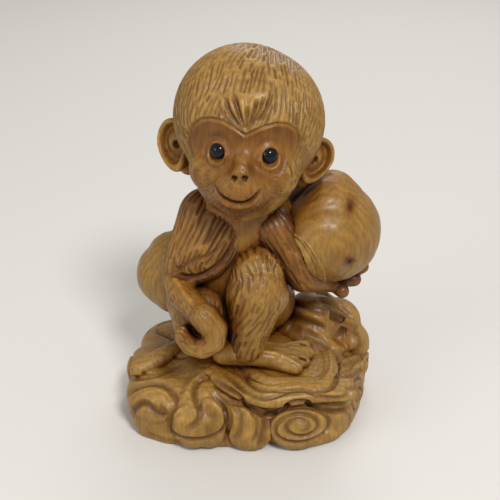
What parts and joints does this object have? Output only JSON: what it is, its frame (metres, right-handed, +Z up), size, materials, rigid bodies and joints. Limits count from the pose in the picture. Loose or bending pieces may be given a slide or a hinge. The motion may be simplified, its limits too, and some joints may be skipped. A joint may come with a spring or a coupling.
{
  "type": "carved wooden monkey figurine",
  "caption": "Carved boxwood monkey seated on a scrolled cloud base, a peach on its shoulder, with black glass bead eyes.",
  "frame": {"origin": "centre of the bounding box at the underside that the figurine rests on", "axes": "+Z up, -Y towards the front where the face looks, +X to the right seen from the front"},
  "size_m": [0.0592, 0.0447, 0.0855],
  "materials": {
    "boxwood": "hand-carved, stained in the recesses and polished to a gloss",
    "black_glass": "polished black bead"
  },
  "bodies": {
    "root": {"cloud_base": "boxwood", "back_rock": "boxwood", "spiral_scroll": "boxwood", "hooked_scroll": "boxwood", "fan_scroll": "boxwood", "corner_curl": "boxwood", "cloud_ribbon": "boxwood", "cloud_roll": "boxwood", "cloud_cushion": "boxwood", "torso": "boxwood", "head": "boxwood", "right_ear": "boxwood", "left_ear": "boxwood", "right_arm": "boxwood", "right_hand": "boxwood", "left_arm": "boxwood", "left_hand": "boxwood", "right_leg": "boxwood", "left_leg": "boxwood", "left_foot": "boxwood", "large_peach": "boxwood", "small_peach": "boxwood", "peach_leaf": "boxwood", "right_eye": "black_glass", "left_eye": "black_glass"}
  },
  "joints": []
}
